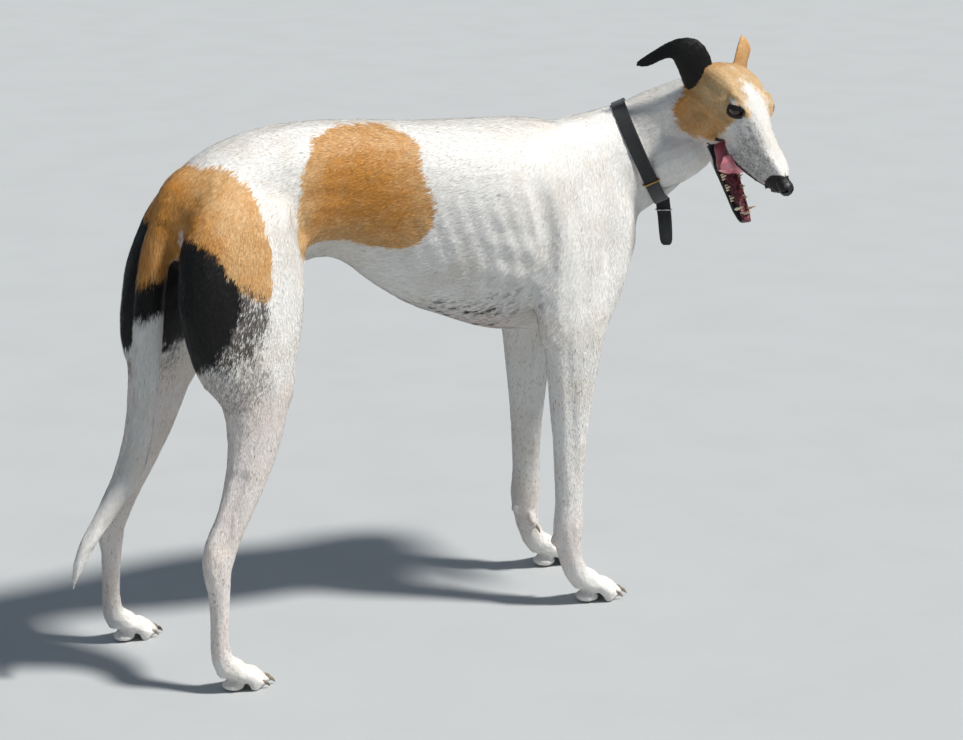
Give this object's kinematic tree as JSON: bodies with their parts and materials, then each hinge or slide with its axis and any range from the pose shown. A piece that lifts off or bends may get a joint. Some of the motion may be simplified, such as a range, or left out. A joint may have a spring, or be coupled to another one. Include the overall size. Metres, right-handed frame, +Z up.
{
  "type": "life-size greyhound model",
  "caption": "Still, life-size model of a standing greyhound, white with fawn patches, head turned to its right and mouth open, wearing a plain black collar.",
  "frame": {"origin": "on the floor, below the middle of the model's bounding box", "axes": "+X towards the dog's front along its back, +Y to the dog's left, +Z up"},
  "size_m": [1.0603, 0.4027, 0.8074],
  "materials": {
    "white_coat": "short smooth coat, white with fawn and grey markings",
    "fawn_coat": "short smooth fawn coat",
    "dark_coat": "short smooth black coat",
    "eye": "polished dark brown eye",
    "nose_skin": "damp pebbled black skin",
    "tongue_skin": "wet pink skin",
    "collar_webbing": "black, slightly worn",
    "brass_keeper": "worn brass",
    "steel_loop": "nickel plate"
  },
  "bodies": {
    "root": {"collar_band": "collar_webbing", "collar_keeper": "brass_keeper", "collar_loop": "steel_loop", "collar_strap": "collar_webbing", "ear_left": "fawn_coat", "ear_right": "dark_coat", "eye_left": "eye", "eye_right": "eye", "fore_pastern_left": "white_coat", "fore_pastern_right": "white_coat", "fore_paw_left": "white_coat", "fore_paw_right": "white_coat", "forearm_left": "white_coat", "forearm_right": "white_coat", "head": "white_coat", "hind_pastern_left": "white_coat", "hind_pastern_right": "white_coat", "hind_paw_left": "white_coat", "hind_paw_right": "white_coat", "lower_jaw": "white_coat", "lower_thigh_left": "white_coat", "lower_thigh_right": "white_coat", "neck_lower": "white_coat", "neck_upper": "white_coat", "nose": "nose_skin", "tail_end": "white_coat", "tail_middle": "white_coat", "tail_root": "white_coat", "thigh_left": "white_coat", "thigh_right": "white_coat", "tongue": "tongue_skin", "torso": "white_coat"}
  },
  "joints": []
}
